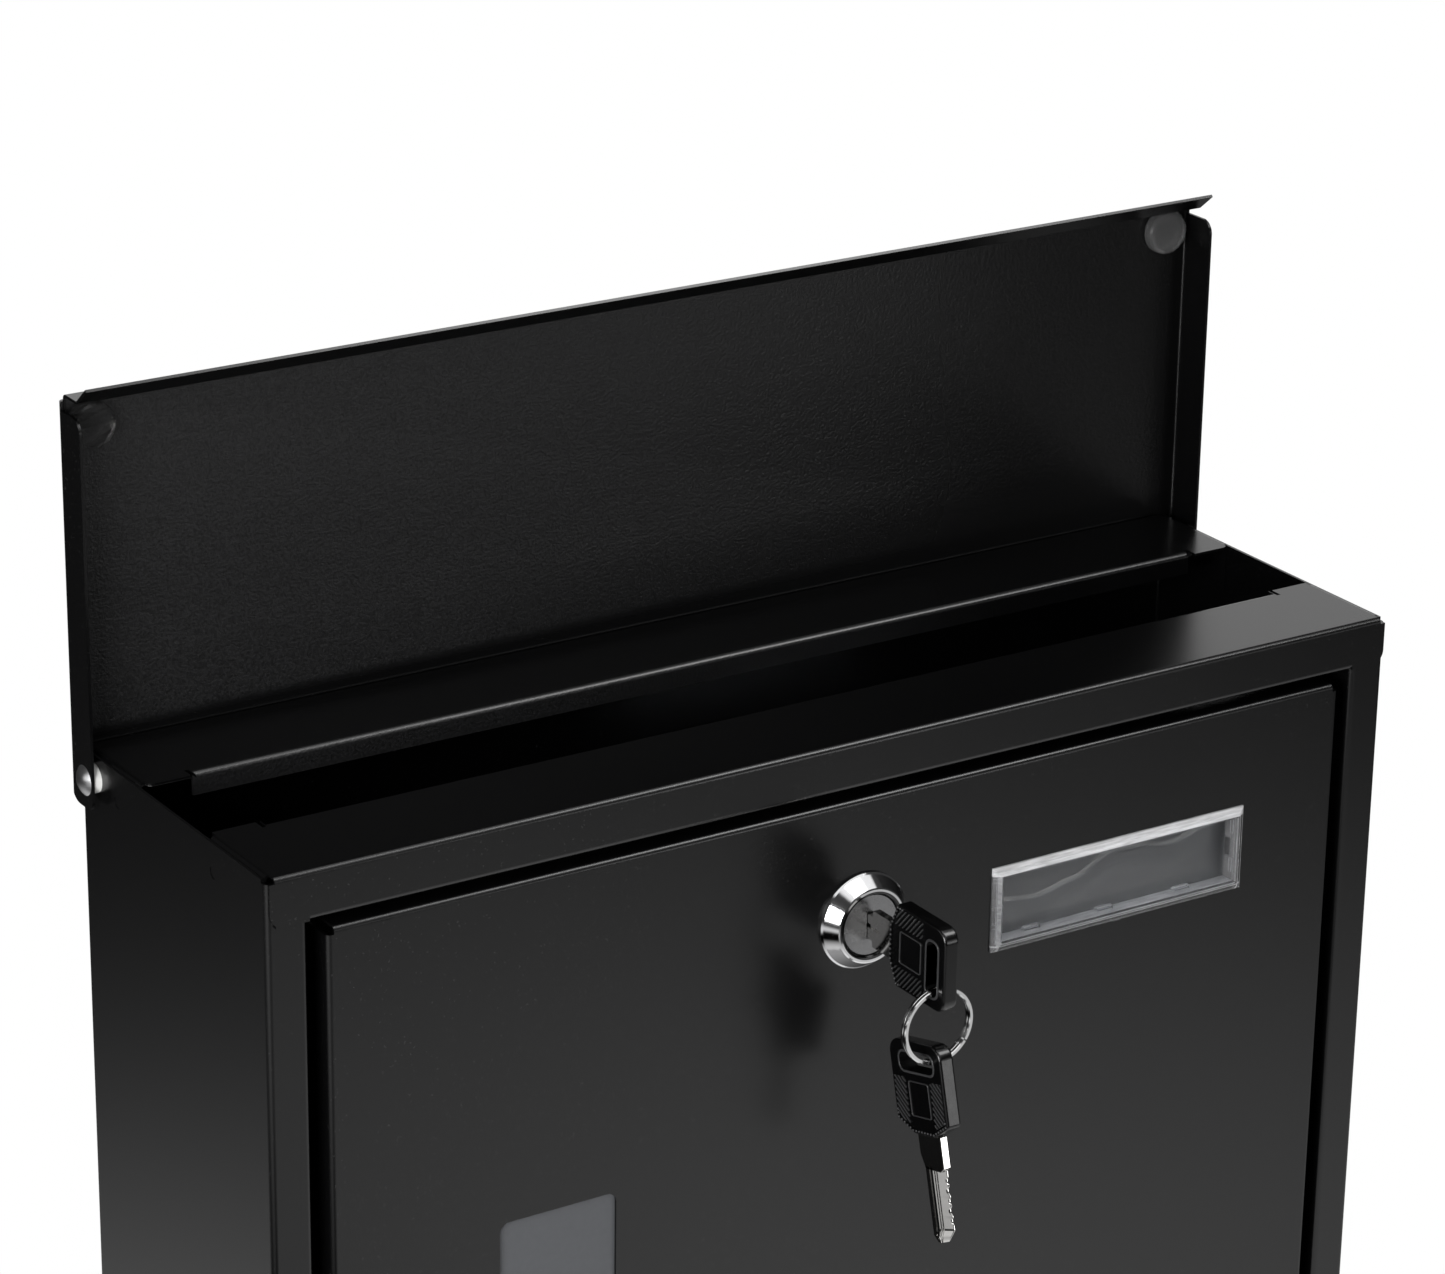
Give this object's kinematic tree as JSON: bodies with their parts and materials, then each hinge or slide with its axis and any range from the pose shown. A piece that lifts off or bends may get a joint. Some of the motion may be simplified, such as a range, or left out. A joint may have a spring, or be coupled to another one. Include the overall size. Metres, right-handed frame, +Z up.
{
  "type": "wall mounted mailbox",
  "caption": "Black sheet-metal wall mailbox with a hinged lid over a letter slot and a drop-down door with cam lock, keys on a ring, clear name plate holder and narrow window.",
  "frame": {"origin": "centre of the four wall holes, on the back face", "axes": "+Z up, -Y out of the wall towards the person at the box, X across the box"},
  "size_m": [0.37, 0.1508, 0.4222],
  "materials": {
    "powder_coat": "fine-textured black powder coat",
    "rivet_steel": "bright zinc",
    "nylon": "natural nylon",
    "bumper_clear": "translucent grey",
    "frosted_pane": "frosted grey",
    "clear_plastic": "clear moulded plastic",
    "clear_film": "clear film",
    "lock_chrome": "satin nickel and chrome",
    "zinc_steel": "zinc plated",
    "key_metal": "nickel plated",
    "key_plastic": "matt black",
    "ring_steel": "polished"
  },
  "bodies": {
    "casing": {"casing": "powder_coat", "top_front_panel": "powder_coat", "top_rear_panel": "powder_coat", "bottom_panel": "powder_coat", "lid_rivets": "rivet_steel", "lid_spacers": "nylon", "door_rivets": "rivet_steel", "door_spacers": "nylon"},
    "lid": {"lid_panel": "powder_coat", "lid_bumpers": "bumper_clear"},
    "door": {"door_panel": "powder_coat", "window_pane": "frosted_pane", "plate_holder": "clear_plastic", "plate_film": "clear_film", "lock_housing": "lock_chrome", "lock_nut": "zinc_steel"},
    "plug": {"lock_plug": "lock_chrome", "lock_cam": "zinc_steel", "cam_washer": "zinc_steel", "cam_screw": "zinc_steel"},
    "key": {"key_blade": "key_metal", "key_bow": "key_plastic"},
    "ring": {"key_ring": "ring_steel"},
    "spare_key": {"spare_key_blade": "key_metal", "spare_key_bow": "key_plastic"}
  },
  "joints": [
    {"name": "lid_hinge", "type": "hinge", "parent": "casing", "child": "lid", "pos_m": [0, -0.0085, 0.153], "axis": [1, 0, 0], "range_deg": [0, 87.5]},
    {"name": "door_hinge", "type": "hinge", "parent": "casing", "child": "door", "pos_m": [0, -0.099, -0.1361], "axis": [1, 0, 0], "range_deg": [0, 112]},
    {"name": "lock_turn", "type": "hinge", "parent": "door", "child": "plug", "pos_m": [0, -0.105, 0.1075], "axis": [0, -1, 0], "range_deg": [0, 90]},
    {"name": "key_slide", "type": "slide", "parent": "plug", "child": "key", "axis": [0, -1, 0], "range_m": [0, 0.022]},
    {"name": "ring_swing", "type": "hinge", "parent": "key", "child": "ring", "pos_m": [0, -0.1411, 0.1012], "axis": [1, 0, 0], "range_deg": [-70, 12]},
    {"name": "spare_key_swing", "type": "hinge", "parent": "ring", "child": "spare_key", "pos_m": [0, -0.1411, 0.0802], "axis": [1, 0, 0], "range_deg": [-60, 12]}
  ]
}
